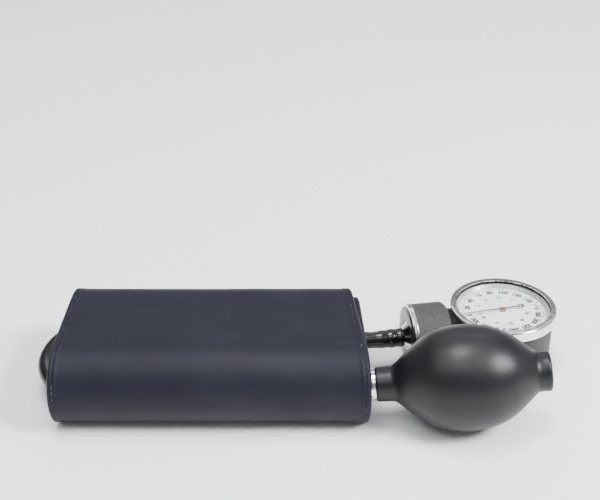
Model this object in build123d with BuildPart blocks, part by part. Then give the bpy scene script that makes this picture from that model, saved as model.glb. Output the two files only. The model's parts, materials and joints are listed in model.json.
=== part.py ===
from build123d import *
import os
from math import atan2, cos, degrees, pi, radians, sin, tan

# Aneroid blood pressure cuff set, laid out as stored.
#
# The cuff is a sewn sleeve wound two and a half times into a flat roll, with its air bladder inside. Two
# rubber hoses run from the bladder through the hollow of the roll: one to the gauge, one to the release
# valve of the hand bulb. Millimetres, +Z up, everything lying on z = 0, origin at the centre of the
# footprint.

os.makedirs("parts", exist_ok=True)

# ---------------------------------------------------------------- driving dimensions
SET_LENGTH = 240.8  # cuff's left edge to bezel's right edge
SET_DEPTH = 104.5  # bulb's front to bezel's back

# cuff, wound about the X axis
ROLL_HEIGHT = 38.7
ROLL_FRONT_Y = -22.0  # centre of the front bends
ROLL_BACK_Y = 21.6  # centre of the back bends
TAIL_T = 1.4  # sleeve where it holds no bladder
LAYER_T = 2.4  # sleeve over the bladder
PATCH_T = 0.55  # hook pad and loop pad
PATCH_GAP = 0.25
SLACK = 0.2  # air between turns
OUTER_LEFT = (-119.2, 0.03)  # ends of the outer turn: X at the set's middle, and X gained per Y
OUTER_RIGHT = (21.3, -0.098)
INNER_LEFT = (-117.0, 0.03)  # ends of the inner turns, which stand out on the right
INNER_RIGHT = (23.7, -0.045)
BLADDER_T = 1.4
BLADDER_WIDTH = 120.0
FLAP_ANGLE = 128.0  # how far the free end wraps down the back

# gauge
BEZEL_R = 26.3
CASE_R = 25.0
CASE_WALL = 1.2
CASE_TOP_Z = 27.9
STEM_TURN = 10.0  # stem's direction, degrees from the X axis
STEM_Z = 16.8
STEM_LENGTH = 48.4  # dial centre to the end disc's face
DISC_R = 16.8
DISC_T = 2.0
GRIP_R = 16.0
GRIP_END = 29.0  # dial centre to the grip's shoulder
NECK_R = 12.3
DIAL_TOP_Z = 26.8
DIAL_T = 0.6
CRYSTAL_Z = 28.8
CRYSTAL_T = 1.2

# movement
GEAR_MODULE = 0.3
PINION_TEETH = 10
SECTOR_TEETH = 100
MESH_PLAY = 0.04
SCALE_SWEEP = 342.0  # degrees of pointer from 0 to 300 mmHg
ZERO_ANGLE = 194.1  # pointer at rest, degrees from the X axis
TAIL_ARM = 3.0  # lever arm under the push rod

# bulb and valves
BULB_R = 24.4
BULB_LEFT_END = -40.5  # along its axis, from its widest place
BULB_RIGHT_END = 39.0
BULB_TURN = -2.0
BULB_TILT = 7.0
BULB_X = 68.2
NECK_BORE = 5.4
VALVE_FIT = 0.05

# hoses
HOSE_R = 3.75
HOSE_BORE = 2.2
NIPPLE_R = 2.15
BARB_R = 2.75

GAUGE_X = SET_LENGTH / 2 - BEZEL_R
GAUGE_Y = SET_DEPTH / 2 - BEZEL_R
BULB_Y = -SET_DEPTH / 2 + BULB_R + 0.1
BULB_Z = BULB_R + 0.2


def save(piece, label):
    """Name a finished piece and write it to its own file."""
    piece.part.label = label
    export_step(piece.part, f"parts/{label}.step")


# ---------------------------------------------------------------- cuff: heights of the wound layers
BOTTOM = {1: TAIL_T / 2}
TOP = {1: ROLL_HEIGHT - TAIL_T / 2}
TOP[2] = TOP[1] - TAIL_T - 2 * PATCH_T - PATCH_GAP
BOTTOM[2] = BOTTOM[1] + (TAIL_T + LAYER_T) / 2 + SLACK
TOP[3] = TOP[2] - (TAIL_T + LAYER_T) / 2 - SLACK
BOTTOM[3] = BOTTOM[2] + LAYER_T + SLACK


def front(turn):
    """Centre height and radius of the front bend that joins a turn's top to its bottom."""
    return (TOP[turn] + BOTTOM[turn]) / 2, (TOP[turn] - BOTTOM[turn]) / 2


def back(turn):
    """Centre height and radius of the back bend that joins the turn outside it to this turn's top."""
    return (TOP[turn] + BOTTOM[turn - 1]) / 2, (TOP[turn] - BOTTOM[turn - 1]) / 2


TAIL_RUN = [("top", 1), ("front", 1), ("bottom", 1), ("back", 2), ("top", 2), ("front", 2)]
BLADDER_RUN = [("bottom", 2), ("back", 3), ("top", 3), ("front", 3), ("bottom", 3)]


def run_edge(run, side, trim):
    """Draw one side of a wound strip, offset outwards by side, cut short by trim at both ends."""
    ends = []
    for index, (place, turn) in enumerate(run):
        start = trim if index == 0 else 0.0
        stop = trim if index == len(run) - 1 else 0.0
        if place in ("top", "bottom"):
            level = TOP[turn] + side if place == "top" else BOTTOM[turn] - side
            first, last = (ROLL_BACK_Y, ROLL_FRONT_Y) if place == "top" else (ROLL_FRONT_Y, ROLL_BACK_Y)
            way = 1 if last > first else -1
            piece = Line((first + way * start, level), (last - way * stop, level))
        else:
            height, radius = front(turn) if place == "front" else back(turn)
            centre_y = ROLL_FRONT_Y if place == "front" else ROLL_BACK_Y
            angle = 90 if place == "front" else -90
            cut = degrees(stop / radius)
            piece = CenterArc((centre_y, height), radius + side, angle, 180 - cut)
        ends.append(piece)
    return ends[0] @ 0, ends[-1] @ 1


def wound_strip(run, half, left, right, trim=0.0):
    """Solid of a wound strip between two X positions, half its thickness each side of the centre line."""
    with BuildPart() as strip:
        with BuildSketch(Plane.YZ.offset(left)):
            with BuildLine():
                outer_first, outer_last = run_edge(run, half, trim)
                inner_first, inner_last = run_edge(run, -half, trim)
                Line(outer_first, inner_first)
                Line(outer_last, inner_last)
            make_face()
        extrude(amount=right - left)
    return strip.part


# ports: where the bladder's two tubes come through the sleeve's inner face
PORT_HOLE_R = 6.9
GAUGE_PORT = Plane(origin=(-22.8, -6, BOTTOM[3]), x_dir=(-1, 0, 0), z_dir=(0, 0, 1))
BULB_PORT = Plane(origin=(-11.8, 9, BOTTOM[3]), x_dir=(-1, 0, 0), z_dir=(0, 0, 1))
CAVITY_HALF = BLADDER_T / 2 + 0.05
HEM = 11.5  # from the inner turns' left end to the bladder



def between(left, right):
    """Block that keeps only what lies between two slanting ends."""
    corners = []
    for reach, (middle, slant) in ((-60.0, left), (-60.0, right), (60.0, right), (60.0, left)):
        corners.append((middle + slant * reach, reach))
    with BuildPart() as block:
        with BuildSketch():
            with BuildLine():
                Polyline(*corners, close=True)
            make_face()
        extrude(amount=60.0, both=True)
    return block.part


ROLL_LEFT = -130.0
ROLL_RIGHT = 35.0
POCKET_LEFT = INNER_LEFT[0] + HEM
POCKET_RIGHT = POCKET_LEFT + BLADDER_WIDTH

with BuildPart() as outer_turn:
    add(wound_strip(TAIL_RUN, TAIL_T / 2, ROLL_LEFT, ROLL_RIGHT))
    add(between(OUTER_LEFT, OUTER_RIGHT), mode=Mode.INTERSECT)

with BuildPart() as inner_turns:
    add(wound_strip(BLADDER_RUN, LAYER_T / 2, ROLL_LEFT, ROLL_RIGHT))
    add(between(INNER_LEFT, INNER_RIGHT), mode=Mode.INTERSECT)

with BuildPart() as cuff_sleeve:
    add(outer_turn.part)
    add(inner_turns.part)
    pocket = wound_strip(BLADDER_RUN, CAVITY_HALF, POCKET_LEFT - 1, POCKET_RIGHT + 1, trim=3.0)
    add(pocket, mode=Mode.SUBTRACT)
    for port in (GAUGE_PORT, BULB_PORT):
        with BuildSketch(port):
            Circle(PORT_HOLE_R)
        extrude(amount=LAYER_T, mode=Mode.SUBTRACT)
save(cuff_sleeve, "cuff_sleeve")

with BuildPart() as bladder:
    add(wound_strip(BLADDER_RUN, BLADDER_T / 2, POCKET_LEFT, POCKET_RIGHT, trim=4.0))
save(bladder, "bladder")


def back_shell(radius, thickness, first, last, left, width):
    """Curved pad on the back bend, from one angle to another, measured back from the top."""
    height = back(2)[0]
    with BuildPart() as shell:
        with BuildSketch(Plane.YZ.offset(left)):
            with BuildLine():
                outer = CenterArc((ROLL_BACK_Y, height), radius + thickness / 2, 90 - first, first - last)
                inner = CenterArc((ROLL_BACK_Y, height), radius - thickness / 2, 90 - first, first - last)
                Line(outer @ 0, inner @ 0)
                Line(outer @ 1, inner @ 1)
            make_face()
        extrude(amount=width)
    return shell.part


FLAP_R = TOP[1] - back(2)[0]
PATCH_LEFT = -107.0
PATCH_WIDTH = 116.0

with BuildPart() as cuff_flap:
    add(back_shell(FLAP_R, TAIL_T, 0.0, FLAP_ANGLE, ROLL_LEFT, ROLL_RIGHT - ROLL_LEFT))
    add(between(OUTER_LEFT, OUTER_RIGHT), mode=Mode.INTERSECT)
save(cuff_flap, "cuff_flap")

with BuildPart() as hook_patch:
    hook_r = FLAP_R - TAIL_T / 2 - PATCH_T / 2
    add(back_shell(hook_r, PATCH_T, 8.0, FLAP_ANGLE - 4, PATCH_LEFT, PATCH_WIDTH))
save(hook_patch, "hook_patch")

with BuildPart() as loop_patch:
    loop_r = back(2)[1] + TAIL_T / 2 + PATCH_T / 2
    add(back_shell(loop_r, PATCH_T, 4.0, FLAP_ANGLE + 4, PATCH_LEFT, PATCH_WIDTH))
save(loop_patch, "loop_patch")

# ---------------------------------------------------------------- bladder ports
PORT_FLANGE_R = 6.5
PORT_FLANGE_T = 0.8
PORT_RISE = 6.2  # spigot axis above the middle of the bladder
SPIGOT_LENGTH = 12.0
PORT_NECK_R = 3.0


def bladder_port(base, label):
    """Moulded elbow: flange welded to the bladder, short riser, barbed spigot for the hose."""
    foot = BLADDER_T / 2
    spigot = Plane(origin=base.from_local_coords((0, 0, PORT_RISE)), x_dir=base.z_dir, z_dir=base.x_dir)
    with BuildPart() as elbow:
        with BuildSketch(base.offset(foot)):
            Circle(PORT_FLANGE_R)
        extrude(amount=PORT_FLANGE_T)
        with BuildSketch(base.offset(foot)):
            Circle(PORT_NECK_R)
        extrude(amount=PORT_RISE - foot + PORT_NECK_R - 0.6)
        with BuildSketch(spigot):
            Circle(PORT_NECK_R)
        extrude(amount=PORT_NECK_R + 1.0)
        with BuildSketch(spigot):
            Circle(NIPPLE_R)
        extrude(amount=PORT_NECK_R + SPIGOT_LENGTH)
        for step in (3.5, 7.0):
            with BuildSketch(spigot.offset(PORT_NECK_R + step)):
                Circle(NIPPLE_R)
            with BuildSketch(spigot.offset(PORT_NECK_R + step + 1.6)):
                Circle(BARB_R)
            loft()
        with BuildSketch(spigot):
            Circle(1.2)
        extrude(amount=PORT_NECK_R + SPIGOT_LENGTH, mode=Mode.SUBTRACT)
        with BuildSketch(base.offset(foot)):
            Circle(1.2)
        extrude(amount=PORT_RISE - foot, mode=Mode.SUBTRACT)
    save(elbow, label)
    return spigot.from_local_coords((0, 0, PORT_NECK_R + 1.0))


gauge_hose_start = bladder_port(GAUGE_PORT, "gauge_hose_port")
bulb_hose_start = bladder_port(BULB_PORT, "bulb_hose_port")

# ---------------------------------------------------------------- gauge frame
# local x points away from the stem, local z up the dial's axis; STEM looks from the dial axis to the disc
GAUGE = Plane(
    origin=(GAUGE_X, GAUGE_Y, 0),
    x_dir=(cos(radians(STEM_TURN)), sin(radians(STEM_TURN)), 0),
    z_dir=(0, 0, 1),
)
STEM = Plane(
    origin=GAUGE.from_local_coords((0, 0, STEM_Z)),
    x_dir=(0, 0, 1),
    z_dir=GAUGE.x_dir * -1,
)
BULB_AXIS = Vector(
    cos(radians(BULB_TILT)) * cos(radians(BULB_TURN)),
    cos(radians(BULB_TILT)) * sin(radians(BULB_TURN)),
    sin(radians(BULB_TILT)),
)
BULB_CENTRE = Vector(BULB_X, BULB_Y, BULB_Z)


def on_bulb(distance):
    """Point on the bulb's axis, measured from its widest place, negative towards the release valve."""
    return BULB_CENTRE + BULB_AXIS * distance


# ---------------------------------------------------------------- hoses
NIPPLE_FOOT = 2.6  # hose end to the disc's face
VALVE_HOSE_END = -62.5  # hose end on the bulb's axis

hose_end = STEM.from_local_coords((0, 0, STEM_LENGTH + NIPPLE_FOOT))
hose_lead = STEM.from_local_coords((0, 0, STEM_LENGTH + NIPPLE_FOOT + 18.0))
GAUGE_HOSE_ROUTE = [
    tuple(gauge_hose_start),
    (-44.8, -6.5, 11.5),
    (-64.8, -15.0, 11.2),
    (-84.8, -23.3, 11.2),
    (-104.8, -24.8, 11.2),
    (-123.8, -17.0, 12.0),
    (-131.3, 0.0, 14.0),
    (-125.8, 16.5, 17.0),
    (-109.8, 27.7, 19.5),
    (-84.8, 29.0, 20.0),
    (-53.8, 28.5, 19.5),
    (-23.8, 24.0, 18.0),
    (2.2, 17.0, 17.0),
    tuple(hose_lead),
    tuple(hose_end),
]
BULB_HOSE_ROUTE = [
    tuple(bulb_hose_start),
    (-35.8, 10.0, 11.4),
    (-57.8, 17.0, 11.0),
    (-79.8, 25.0, 11.0),
    (-97.8, 23.5, 11.8),
    (-109.3, 12.0, 13.5),
    (-112.3, -3.0, 16.0),
    (-104.3, -17.3, 18.3),
    (-87.3, -24.8, 19.2),
    (-61.8, -26.3, 19.2),
    (-39.8, -26.3, 17.2),
    tuple(on_bulb(VALVE_HOSE_END - 21.0)),
    tuple(on_bulb(VALVE_HOSE_END)),
]


def corner_radii(route):
    """As large an arc at each corner as its two runs leave room for."""
    points = [Vector(*point) for point in route]
    radii = []
    for before, corner, after in zip(points, points[1:], points[2:]):
        turn = radians((corner - before).get_angle(after - corner))
        run = min((corner - before).length, (after - corner).length)
        radii.append(0.45 * run / tan(turn / 2))
    return radii


def hose(route, label):
    """Rubber tube along straight runs joined by tangent arcs."""
    radii = corner_radii(route)
    with BuildPart() as tube:
        with BuildLine() as path:
            FilletPolyline(*route, radius=radii)
        with BuildSketch(Plane(origin=path.line @ 0, z_dir=path.line % 0)):
            Circle(HOSE_R)
            Circle(HOSE_BORE, mode=Mode.SUBTRACT)
        sweep()
    save(tube, label)
    length = path.wires()[0].length
    section = pi * (HOSE_R**2 - HOSE_BORE**2)
    ratio = tube.part.volume / (section * length)
    print(label, "length", round(length, 1), "volume ratio", round(ratio, 4))
    print("  radii", [round(radius, 1) for radius in radii])


hose(GAUGE_HOSE_ROUTE, "gauge_hose")
hose(BULB_HOSE_ROUTE, "bulb_hose")


# ---------------------------------------------------------------- gauge: shapes on its two axes
def ring(base, low, high, outer, inner=0.0):
    """Round piece between two heights on a plane's axis, bored if inner is given."""
    with BuildPart() as blank:
        with BuildSketch(base.offset(low)):
            Circle(outer)
            if inner:
                Circle(inner, mode=Mode.SUBTRACT)
        extrude(amount=high - low)
    return blank.part


def stem(distance):
    """Plane across the stem, a distance out from the dial's axis."""
    return STEM.offset(distance)


def stem_disc(low, high, outer, inner=0.0):
    """Round piece on the stem's axis between two distances from the dial's axis."""
    return ring(STEM, low, high, outer, inner)


ROD_R = 0.9
ROD_BORE_R = 0.97
SPIGOT_R = 4.4
PLATE_Z = 11.0
PLATE_T = 1.0
TOP_PLATE_Z = 21.0
PILLAR_R = 1.6
SCREW_R = 0.75
FLOOR_T = 1.5
LEDGE_Z = DIAL_TOP_Z - DIAL_T - 1.1
BEZEL_LOW_Z = 25.2
PILLARS = [(-17.8, 9.0), (-17.8, -7.6), (9.0, -7.6), (9.0, 9.0)]
PIVOT_SIDE = 2.95
CENTRE_DISTANCE = GEAR_MODULE * (PINION_TEETH + SECTOR_TEETH) / 2 + MESH_PLAY
PIVOT = (-((CENTRE_DISTANCE**2 - PIVOT_SIDE**2) ** 0.5), PIVOT_SIDE)
ARBOR_R = 0.5
PIVOT_R = 0.6
BEARING_PLAY = 0.05

with BuildPart() as gauge_case:
    add(ring(GAUGE, 0.0, CASE_TOP_Z, CASE_R))
    fillet(gauge_case.edges().group_by(Axis.Z)[0], radius=3.0)
    add(ring(GAUGE, FLOOR_T, CASE_TOP_Z, CASE_R - CASE_WALL), mode=Mode.SUBTRACT)
    add(ring(GAUGE, LEDGE_Z, DIAL_TOP_Z - DIAL_T, CASE_R - CASE_WALL + 0.2, 21.0))
    for spot in PILLARS:
        post = GAUGE.shift_origin(GAUGE.from_local_coords((*spot, 0)))
        add(ring(post, FLOOR_T - 0.2, PLATE_Z, 2.4))
        add(ring(post, PLATE_Z - 5.0, PLATE_Z, SCREW_R + BEARING_PLAY), mode=Mode.SUBTRACT)
    add(stem_disc(CASE_R - 3.0, CASE_R + 1.0, SPIGOT_R + 0.05), mode=Mode.SUBTRACT)
save(gauge_case, "gauge_case")

with BuildPart() as bezel:
    add(ring(GAUGE, BEZEL_LOW_Z, CRYSTAL_Z + CRYSTAL_T + 0.4, BEZEL_R, 23.3))
    fillet(bezel.edges().filter_by(GeomType.CIRCLE).group_by(Axis.Z)[-1].sort_by(SortBy.RADIUS)[-1], 1.0)
    add(ring(GAUGE, BEZEL_LOW_Z, CRYSTAL_Z + CRYSTAL_T, CASE_R + 0.03), mode=Mode.SUBTRACT)
save(bezel, "bezel")

with BuildPart() as crystal:
    add(ring(GAUGE, CRYSTAL_Z, CRYSTAL_Z + CRYSTAL_T, CASE_R - 0.1))
save(crystal, "crystal")

with BuildPart() as crystal_gasket:
    add(ring(GAUGE, CASE_TOP_Z, CRYSTAL_Z, CASE_R - 0.1, 23.2))
save(crystal_gasket, "crystal_gasket")

with BuildPart() as dial_ring:
    add(ring(GAUGE, DIAL_TOP_Z, CRYSTAL_Z - 0.1, 23.1))
    with BuildSketch(GAUGE.offset(DIAL_TOP_Z)):
        Circle(21.3)
    with BuildSketch(GAUGE.offset(CRYSTAL_Z - 0.1)):
        Circle(22.6)
    loft(mode=Mode.SUBTRACT)
save(dial_ring, "dial_ring")

with BuildPart() as dial:
    add(ring(GAUGE, DIAL_TOP_Z - DIAL_T, DIAL_TOP_Z, 23.6, 1.7))
save(dial, "dial")

with BuildPart() as neck:
    add(stem_disc(CASE_R - 4.0, GRIP_END, NECK_R))
    add(ring(GAUGE, -1.0, BEZEL_LOW_Z - 0.05, CASE_R + 0.02), mode=Mode.SUBTRACT)
    add(ring(GAUGE, BEZEL_LOW_Z - 0.1, 40.0, BEZEL_R + 0.05), mode=Mode.SUBTRACT)
    add(stem_disc(CASE_R - CASE_WALL - 0.6, GRIP_END, SPIGOT_R))
    add(stem_disc(GRIP_END - 0.1, GRIP_END + 3.0, SPIGOT_R))
    add(stem_disc(CASE_R - 6.0, GRIP_END + 4.0, ROD_BORE_R), mode=Mode.SUBTRACT)
save(neck, "neck")

GRIP_WALL = 1.6
GRIP_BACK = STEM_LENGTH - DISC_T

with BuildPart() as grip_housing:
    add(stem_disc(GRIP_END, GRIP_BACK, GRIP_R))
    grip_centre = STEM.from_local_coords((0, 0, GRIP_END))
    shoulder = grip_housing.edges().filter_by(GeomType.CIRCLE).sort_by_distance(grip_centre)
    fillet(shoulder[0], radius=2.5)
    add(stem_disc(GRIP_END + 2.6, GRIP_BACK, GRIP_R - GRIP_WALL), mode=Mode.SUBTRACT)
    add(stem_disc(GRIP_END, GRIP_BACK, SPIGOT_R + 0.05), mode=Mode.SUBTRACT)
save(grip_housing, "grip_housing")

with BuildPart() as end_disc:
    add(stem_disc(GRIP_BACK, STEM_LENGTH, DISC_R))
    fillet(end_disc.edges().filter_by(GeomType.CIRCLE), radius=0.35)
    add(stem_disc(GRIP_BACK - 1.5, GRIP_BACK + 0.2, GRIP_R - GRIP_WALL - 0.05))
    add(stem_disc(GRIP_BACK - 2.0, STEM_LENGTH + 1.0, 3.05), mode=Mode.SUBTRACT)
save(end_disc, "end_disc")

NIPPLE_LENGTH = 15.0
THREAD_R = 3.0


def barbed_stem(base, start, length, barbs):
    """Tapered barbs on a round nipple, standing along a plane's axis."""
    with BuildPart() as nipple:
        add(ring(base, start, start + length, NIPPLE_R))
        for step in barbs:
            with BuildSketch(base.offset(start + step)):
                Circle(BARB_R)
            with BuildSketch(base.offset(start + step + 1.8)):
                Circle(NIPPLE_R)
            loft()
    return nipple.part


with BuildPart() as hose_nipple:
    add(stem_disc(GRIP_BACK - 3.5, STEM_LENGTH, THREAD_R))
    with BuildSketch(stem(STEM_LENGTH)):
        Circle(7.4)
    with BuildSketch(stem(STEM_LENGTH + NIPPLE_FOOT - 0.1)):
        Circle(4.6)
    loft()
    add(barbed_stem(STEM, STEM_LENGTH + NIPPLE_FOOT - 0.2, NIPPLE_LENGTH, (3.0, 6.5, 10.0)))
    add(stem_disc(GRIP_BACK - 4.0, STEM_LENGTH + 30.0, 1.1), mode=Mode.SUBTRACT)
save(hose_nipple, "hose_nipple")

# capsule: two dished corrugated diaphragms round a hub that the nipple feeds
CAPSULE_R = 12.5
CAPSULE_BASE = GRIP_BACK - 3.6
CAPSULE_TOP = CAPSULE_BASE - 6.0
CAPSULE_SKIN = 0.35
CORRUGATIONS = 4

WAVE = 0.5


def diaphragm(level, side, bore):
    """Thin corrugated disc: rings stepped alternately out and in by half a wave."""
    width = (CAPSULE_R - 3.0) / (2 * CORRUGATIONS)
    with BuildPart() as sheet:
        for step in range(2 * CORRUGATIONS):
            shift = WAVE / 2 * side * (1 if step % 2 else -1)
            inner = 3.0 + step * width
            low = level + shift - CAPSULE_SKIN / 2
            add(stem_disc(low, low + CAPSULE_SKIN, inner + width + 0.1, inner - 0.1))
            reach = (WAVE + CAPSULE_SKIN) / 2
            if step:
                add(stem_disc(level - reach, level + reach, inner + 0.15, inner - 0.15))
        hub_low = level - (WAVE + CAPSULE_SKIN) / 2
        add(stem_disc(hub_low, hub_low + WAVE + CAPSULE_SKIN, 3.2, bore))
    return sheet.part


with BuildPart() as diaphragm_capsule:
    add(diaphragm(CAPSULE_BASE - 0.6, 1, 1.1))
    add(diaphragm(CAPSULE_TOP + 0.6, -1, 0.0))
    add(stem_disc(CAPSULE_TOP + 0.2, CAPSULE_BASE - 0.2, CAPSULE_R + 0.1, CAPSULE_R - 0.3))
save(diaphragm_capsule, "diaphragm_capsule")

with BuildPart() as nipple_seal:
    add(stem_disc(GRIP_BACK - 3.2, GRIP_BACK - 1.55, 4.6, THREAD_R + 0.05))
save(nipple_seal, "nipple_seal")

# ---------------------------------------------------------------- movement
ROD_FOOT = CAPSULE_TOP - 0.15
ROD_TIP = -PIVOT[0] + TAIL_ARM * sin(radians(SCALE_SWEEP / 20)) + 0.55

with BuildPart() as push_rod:
    add(stem_disc(ROD_TIP, ROD_FOOT, ROD_R))
    nose = STEM.from_local_coords((0, 0, ROD_TIP))
    fillet(push_rod.edges().filter_by(GeomType.CIRCLE).sort_by_distance(nose)[0], radius=ROD_R - 0.1)
    add(stem_disc(ROD_FOOT - 0.8, ROD_FOOT, 2.4))
save(push_rod, "push_rod")


def plate(low, label):
    """One of the two movement plates, drilled for pillars and pivots."""
    with BuildPart() as board:
        with BuildSketch(GAUGE.offset(low)):
            with Locations((-4.55, 0.75)):
                RectangleRounded(33.3, 23.5, 5.0)
            with Locations(*PILLARS):
                Circle(SCREW_R + BEARING_PLAY, mode=Mode.SUBTRACT)
            with Locations(PIVOT):
                Circle(PIVOT_R + BEARING_PLAY, mode=Mode.SUBTRACT)
            Circle(ARBOR_R + BEARING_PLAY, mode=Mode.SUBTRACT)
        extrude(amount=PLATE_T)
    save(board, label)


plate(PLATE_Z, "bottom_plate")
plate(TOP_PLATE_Z, "top_plate")


def at_pillars(maker, label):
    """The same small piece at every pillar, saved as one node."""
    with BuildPart() as group:
        for spot in PILLARS:
            add(maker(GAUGE.shift_origin(GAUGE.from_local_coords((*spot, 0)))))
    save(group, label)


def pillar(base):
    """Tube that holds the plates apart."""
    return ring(base, PLATE_Z + PLATE_T, TOP_PLATE_Z, PILLAR_R, SCREW_R + BEARING_PLAY)


def movement_screw(base):
    """Slotted cheese-head screw through both plates into the case's post."""
    head_z = TOP_PLATE_Z + PLATE_T
    with BuildPart() as screw:
        add(ring(base, PLATE_Z - 4.0, head_z, SCREW_R))
        add(ring(base, head_z, head_z + 1.0, 1.5))
        with BuildSketch(base.offset(head_z + 0.6)):
            Rectangle(4.0, 0.4)
        extrude(amount=1.0, mode=Mode.SUBTRACT)
    return screw.part


at_pillars(pillar, "movement_pillars")
at_pillars(movement_screw, "movement_screws")

SECTOR_Z = STEM_Z - 0.5
SECTOR_T = 1.0
REST_SWING = SCALE_SWEEP * PINION_TEETH / SECTOR_TEETH / 2  # travel each side of its middle, degrees
SECTOR_STEP = 360.0 / SECTOR_TEETH
PINION_STEP = 360.0 / PINION_TEETH
SECTOR_SIDE_TEETH = 8  # teeth each side of the middle one
SECTOR_PITCH_R = GEAR_MODULE * SECTOR_TEETH / 2
PINION_PITCH_R = GEAR_MODULE * PINION_TEETH / 2
TO_PINION = degrees(atan2(-PIVOT[1], -PIVOT[0]))
SECTOR_MIDDLE = TO_PINION - REST_SWING
PIVOT_PLANE = GAUGE.shift_origin(GAUGE.from_local_coords((*PIVOT, 0)))


def turned(base, angle):
    """The same plane turned about its own axis."""
    return base.rotated((0, 0, angle))


def tooth(base, root_r, tip_r, root_w, tip_w, low, high):
    """Straight-sided tooth standing out along a plane's local x."""
    with BuildPart() as cog:
        with BuildSketch(base.offset(low)):
            with BuildLine():
                Polyline(
                    (root_r, -root_w / 2),
                    (tip_r, -tip_w / 2),
                    (tip_r, tip_w / 2),
                    (root_r, root_w / 2),
                    close=True,
                )
            make_face()
        extrude(amount=high - low)
    return cog.part


def pie(base, low, high, inner, outer, half_angle):
    """Slice of a ring, centred on a plane's local x."""
    with BuildPart() as slice_part:
        with BuildSketch(base.offset(low)):
            with BuildLine():
                outside = CenterArc((0, 0), outer, -half_angle, 2 * half_angle)
                inside = CenterArc((0, 0), inner, -half_angle, 2 * half_angle)
                Line(outside @ 0, inside @ 0)
                Line(outside @ 1, inside @ 1)
            make_face()
        extrude(amount=high - low)
    return slice_part.part


with BuildPart() as sector_gear:
    top = SECTOR_Z + SECTOR_T
    half_fan = (SECTOR_SIDE_TEETH + 0.35) * SECTOR_STEP
    fan = turned(PIVOT_PLANE, SECTOR_MIDDLE)
    add(pie(fan, SECTOR_Z, top, 0.8, SECTOR_PITCH_R - 0.34, half_fan))
    add(pie(fan, SECTOR_Z, top, 4.5, SECTOR_PITCH_R - 3.0, half_fan - 7.0), mode=Mode.SUBTRACT)
    for index in range(-SECTOR_SIDE_TEETH, SECTOR_SIDE_TEETH + 1):
        place = turned(fan, index * SECTOR_STEP)
        add(tooth(place, SECTOR_PITCH_R - 0.4, SECTOR_PITCH_R + 0.24, 0.5, 0.24, SECTOR_Z, top))
    lever = turned(PIVOT_PLANE, -90.0 - REST_SWING)
    add(tooth(lever, 0.0, TAIL_ARM, 1.5, 0.9, SECTOR_Z, top))
    tip = lever.shift_origin(lever.from_local_coords((TAIL_ARM, 0, 0)))
    add(ring(tip, SECTOR_Z, top, 0.45))
    add(ring(PIVOT_PLANE, SECTOR_Z - 0.8, top + 0.8, 1.7))
    add(ring(PIVOT_PLANE, SECTOR_Z - 1.0, top + 1.0, PIVOT_R), mode=Mode.SUBTRACT)
save(sector_gear, "sector_gear")

with BuildPart() as sector_pin:
    add(ring(PIVOT_PLANE, PLATE_Z + 0.1, TOP_PLATE_Z + PLATE_T - 0.1, PIVOT_R))
save(sector_pin, "sector_pin")

NEEDLE_Z = DIAL_TOP_Z + 1.3
NEEDLE_T = 0.25

with BuildPart() as pinion:
    add(ring(GAUGE, PLATE_Z + 0.1, NEEDLE_Z + NEEDLE_T, ARBOR_R))
    add(ring(GAUGE, SECTOR_Z - 0.6, SECTOR_Z + SECTOR_T + 0.6, PINION_PITCH_R - 0.5))
    gap_angle = TO_PINION + 180.0 - (1 - REST_SWING / SECTOR_STEP % 1) * PINION_STEP
    for index in range(PINION_TEETH):
        place = turned(GAUGE, gap_angle + (index + 0.5) * PINION_STEP)
        add(
            tooth(
                place,
                ARBOR_R,
                PINION_PITCH_R + 0.22,
                0.3,
                0.26,
                SECTOR_Z - 0.6,
                SECTOR_Z + SECTOR_T + 0.6,
            )
        )
save(pinion, "pinion")

COLLET_R = 1.1
SPRING_Z = 19.0
SPRING_H = 0.5
SPRING_T = 0.14
SPRING_PITCH = 0.55
SPRING_HALF_TURNS = 12

with BuildPart() as spring_collet:
    add(ring(GAUGE, SPRING_Z - 0.1, SPRING_Z + SPRING_H + 0.1, COLLET_R, ARBOR_R))
save(spring_collet, "spring_collet")


def half_ring(base, low, high, radius, thickness):
    """Half turn of a flat spring, on the side of positive local y."""
    with BuildPart() as turn:
        with BuildSketch(base.offset(low)):
            with BuildLine():
                outside = CenterArc((0, 0), radius + thickness / 2, 0, 180)
                inside = CenterArc((0, 0), radius - thickness / 2, 0, 180)
                Line(outside @ 0, inside @ 0)
                Line(outside @ 1, inside @ 1)
            make_face()
        extrude(amount=high - low)
    return turn.part


with BuildPart() as hairspring:
    shift = 0.0
    for index in range(SPRING_HALF_TURNS):
        radius = COLLET_R + 0.25 + index * SPRING_PITCH / 2
        side = 0.0 if index % 2 == 0 else 180.0
        hub = GAUGE.shift_origin(GAUGE.from_local_coords((shift, 0, 0)))
        add(half_ring(turned(hub, side), SPRING_Z, SPRING_Z + SPRING_H, radius, SPRING_T))
        shift += SPRING_PITCH / 2 * (1 if index % 2 == 0 else -1)
save(hairspring, "hairspring")

with BuildPart() as spring_stud:
    last_r = COLLET_R + 0.25 + (SPRING_HALF_TURNS - 1) * SPRING_PITCH / 2
    stud = GAUGE.shift_origin(GAUGE.from_local_coords((last_r + SPRING_PITCH / 2 + 0.64, -0.6, 0)))
    add(ring(stud, SPRING_Z - 0.2, TOP_PLATE_Z, 0.55))
save(spring_stud, "spring_stud")

# ---------------------------------------------------------------- pointer
POINTER = turned(GAUGE, ZERO_ANGLE - STEM_TURN)
NEEDLE_TIP = 20.3
NEEDLE_TAIL = 9.6
HUB_TUBE_R = ARBOR_R + 0.25

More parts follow.
